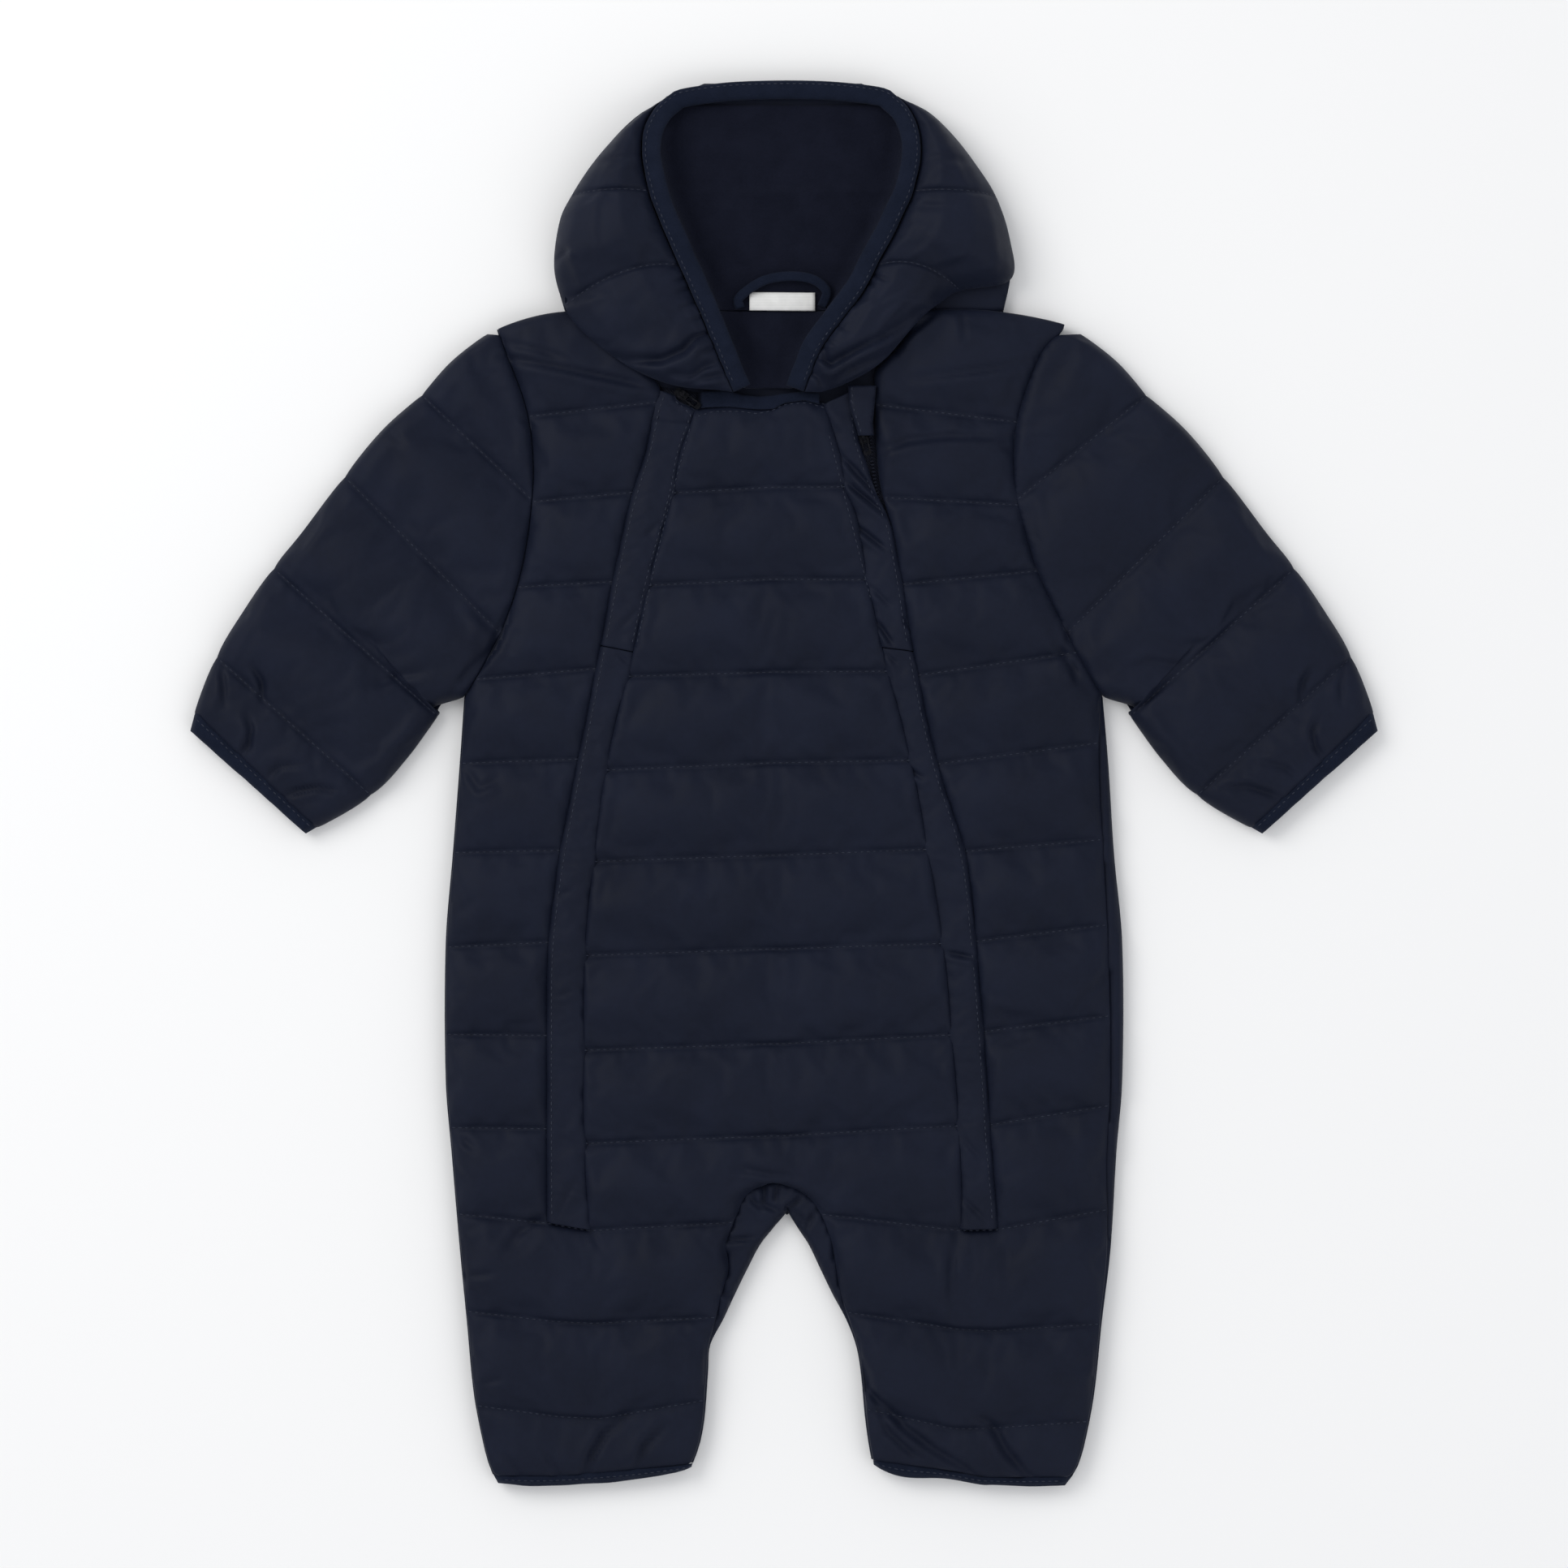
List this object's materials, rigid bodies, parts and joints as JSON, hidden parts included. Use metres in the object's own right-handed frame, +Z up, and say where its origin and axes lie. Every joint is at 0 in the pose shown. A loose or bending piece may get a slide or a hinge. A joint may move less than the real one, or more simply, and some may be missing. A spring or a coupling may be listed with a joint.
{
  "type": "baby snowsuit",
  "caption": "Quilted, hooded baby snowsuit laid flat on its back, with two long front zips under padded guards and bound cuffs.",
  "frame": {"origin": "centre of the garment's outline as seen from above, on the surface it lies on", "axes": "+Y from the legs towards the hood, +X to the viewer's right with the front up, +Z up off the surface"},
  "size_m": [0.5058, 0.5982, 0.032],
  "materials": {
    "nylon": "soft sheen, dark navy",
    "fleece": "matt pile, dark navy",
    "binding_cloth": "matt, dark navy",
    "zip_cloth": "matt, near black",
    "white_tape": "matt white",
    "dark_metal": "polished dark metal"
  },
  "bodies": {
    "suit": {"front": "nylon", "back": "nylon", "sleeve_left": "nylon", "sleeve_right": "nylon", "hood_side_left": "nylon", "hood_side_right": "nylon", "hood_back": "nylon", "zip_guard_left_upper": "nylon", "zip_guard_left_lower": "nylon", "zip_guard_right_upper": "nylon", "zip_guard_right_lower": "nylon", "zip_garage": "nylon", "zip_left": "zip_cloth", "zip_right": "zip_cloth", "cuff_binding_left": "binding_cloth", "cuff_binding_right": "binding_cloth", "hem_binding_left": "binding_cloth", "hem_binding_right": "binding_cloth", "hood_binding": "binding_cloth", "neck_facing": "binding_cloth", "hanger_loop": "binding_cloth", "hood_lining": "fleece", "neck_lining": "fleece", "neck_label": "white_tape", "slider_left": "dark_metal", "slider_right": "dark_metal"},
    "tab_left": {"pull_tab_left": "dark_metal"},
    "tab_right": {"pull_tab_right": "dark_metal"}
  },
  "joints": [
    {"name": "left_tab_hinge", "type": "hinge", "parent": "suit", "child": "tab_left", "pos_m": [-0.0432, 0.1654, 0.01155], "axis": [-0.5807, -0.8141, 0], "range_deg": [0, 90]},
    {"name": "right_tab_hinge", "type": "hinge", "parent": "suit", "child": "tab_right", "pos_m": [0.0339, 0.147, 0.01155], "axis": [-0.9659, -0.2588, 0], "range_deg": [0, 90]}
  ]
}
